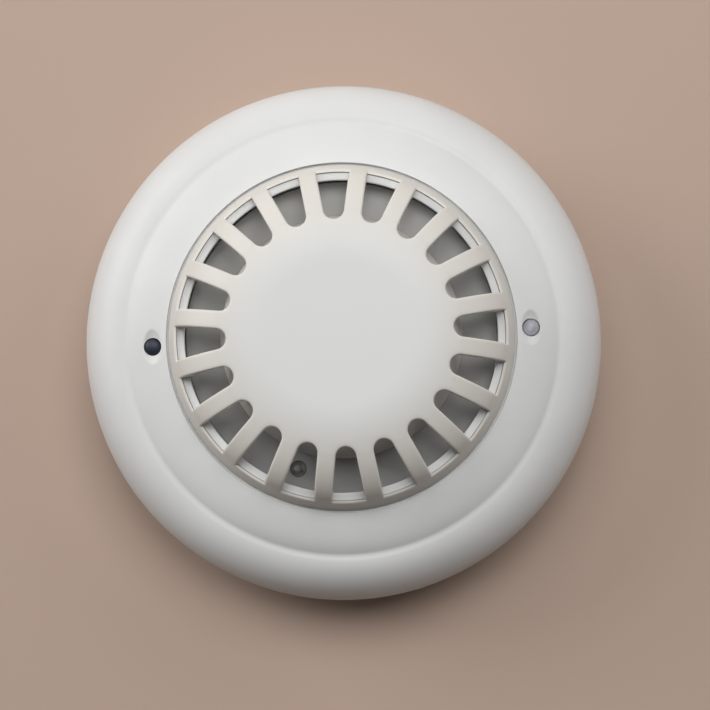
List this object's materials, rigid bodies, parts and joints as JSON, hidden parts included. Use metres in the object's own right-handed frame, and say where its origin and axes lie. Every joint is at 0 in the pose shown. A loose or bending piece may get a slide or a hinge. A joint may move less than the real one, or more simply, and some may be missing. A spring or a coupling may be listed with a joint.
{
  "type": "heat detector",
  "caption": "Round ceiling heat detector: twist-lock base, domed head with a slotted grille cap, a clear status lamp and a dark receiver lens.",
  "frame": {"origin": "centre of the base's back face, which lies on the ceiling", "axes": "+Z from the ceiling face to the sensing face; +X towards the status lamp, -X towards the receiver lens, and the two fixing slots lie on X"},
  "size_m": [0.103, 0.103, 0.039],
  "materials": {
    "cover_plastic": "fine matte moulded ABS, cool white",
    "grille_plastic": "fine matte moulded ABS, warm white",
    "base_plastic": "matte moulded ABS",
    "deck_plastic": "matte grey",
    "lamp_lens": "clear epoxy, slightly frosted",
    "receiver_lens": "dark infrared-pass epoxy",
    "spacer_plastic": "natural nylon",
    "board_laminate": "solder mask over glass laminate",
    "black_epoxy": "moulded component bodies",
    "ceramic_chip": "chip parts",
    "capacitor_can": "satin can",
    "contact_brass": "bright strip",
    "zinc_steel": "zinc plated",
    "tinned_wire": "tinned copper",
    "bead_coating": "epoxy-coated bead",
    "green_bead": "epoxy-coated bead",
    "grommet_rubber": "soft rubber",
    "label_paper": "blank label"
  },
  "bodies": {
    "base": {"mounting_base": "base_plastic", "contact_springs": "contact_brass", "wire_clamps": "zinc_steel", "terminal_screws": "zinc_steel"},
    "head": {"rear_housing": "base_plastic", "contact_blades": "contact_brass", "contact_rivets": "zinc_steel", "housing_screws": "zinc_steel", "rear_label": "label_paper", "circuit_board": "board_laminate", "controller_chip": "black_epoxy", "storage_capacitor": "capacitor_can", "bridge_rectifier": "black_epoxy", "surge_suppressor": "black_epoxy", "chip_parts": "ceramic_chip", "reference_thermistor": "green_bead", "thermistor_bead": "bead_coating", "thermistor_leads": "tinned_wire", "sensor_grommet": "grommet_rubber", "sensor_deck": "deck_plastic", "status_led": "lamp_lens", "led_spacer": "spacer_plastic", "led_leads": "tinned_wire", "ir_receiver": "receiver_lens", "receiver_spacer": "spacer_plastic", "receiver_leads": "tinned_wire", "front_cover": "cover_plastic"},
    "grille": {"grille": "grille_plastic"}
  },
  "joints": [
    {"name": "head_twist", "type": "hinge", "parent": "base", "child": "head", "pos_m": [0, 0, 0.0086], "axis": [0, 0, 1], "range_deg": [0, 20]},
    {"name": "grille_lift", "type": "slide", "parent": "head", "child": "grille", "axis": [0, 0, 1], "range_m": [0, 0.02]}
  ]
}
